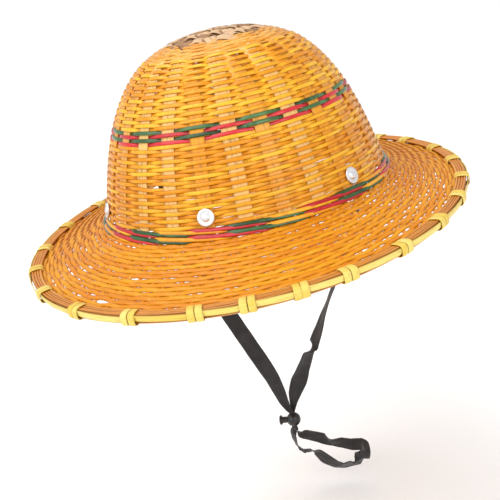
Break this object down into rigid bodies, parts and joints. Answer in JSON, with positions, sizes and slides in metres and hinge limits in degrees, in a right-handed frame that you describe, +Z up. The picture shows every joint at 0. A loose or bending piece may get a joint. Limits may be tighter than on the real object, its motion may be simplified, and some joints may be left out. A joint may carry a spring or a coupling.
{
  "type": "woven bamboo helmet",
  "caption": "Woven bamboo helmet with a domed crown, a curved brim, coloured woven bands, a lashed rim, metal rivets and a ribbon chin strap with a bead.",
  "frame": {"origin": "middle of the head opening, level with the lower coloured band where the crown meets the brim", "axes": "+Z up through the crown, -Y towards the front of the hat, +X towards the wearer's left"},
  "size_m": [0.3315, 0.3809, 0.4221],
  "materials": {
    "golden_bamboo": "varnished golden bamboo weavers over paler stakes",
    "brim_bamboo": "varnished thin round bamboo weavers",
    "coloured_bands": "bamboo strands dyed dark green and red, varnished",
    "pale_bamboo": "split pale bamboo, dry and matt",
    "rim_bamboo": "round bamboo rods with dark gaps, varnished",
    "lashing_strip": "thin pale yellow bamboo strip, satin",
    "rivet_steel": "bright plated snap rivets",
    "strap_ribbon": "thin warm black woven ribbon",
    "bead_black": "black cord bead"
  },
  "bodies": {
    "root": {"crown_lower": "golden_bamboo", "crown_upper": "golden_bamboo", "top_coil": "golden_bamboo", "brim_weave": "brim_bamboo", "upper_band": "coloured_bands", "lower_band": "coloured_bands", "top_lattice": "pale_bamboo", "rim_rods": "rim_bamboo", "rim_hoop": "rim_bamboo", "edge_strip": "lashing_strip", "lash_01": "lashing_strip", "lash_02": "lashing_strip", "lash_03": "lashing_strip", "lash_04": "lashing_strip", "lash_05": "lashing_strip", "lash_06": "lashing_strip", "lash_07": "lashing_strip", "lash_08": "lashing_strip", "lash_09": "lashing_strip", "lash_10": "lashing_strip", "lash_11": "lashing_strip", "lash_12": "lashing_strip", "lash_13": "lashing_strip", "lash_14": "lashing_strip", "lash_15": "lashing_strip", "lash_16": "lashing_strip", "lash_17": "lashing_strip", "lash_18": "lashing_strip", "lash_19": "lashing_strip", "lash_20": "lashing_strip", "lash_21": "lashing_strip", "lash_22": "lashing_strip", "lash_23": "lashing_strip", "lash_24": "lashing_strip", "lash_25": "lashing_strip", "lash_26": "lashing_strip", "rivet_front": "rivet_steel", "rivet_front_right": "rivet_steel", "rivet_back_right": "rivet_steel", "rivet_back": "rivet_steel", "rivet_back_left": "rivet_steel", "rivet_front_left": "rivet_steel", "chin_strap_left": "strap_ribbon", "chin_strap_right": "strap_ribbon", "chin_strap_loop": "strap_ribbon", "strap_bead": "bead_black"}
  },
  "joints": []
}
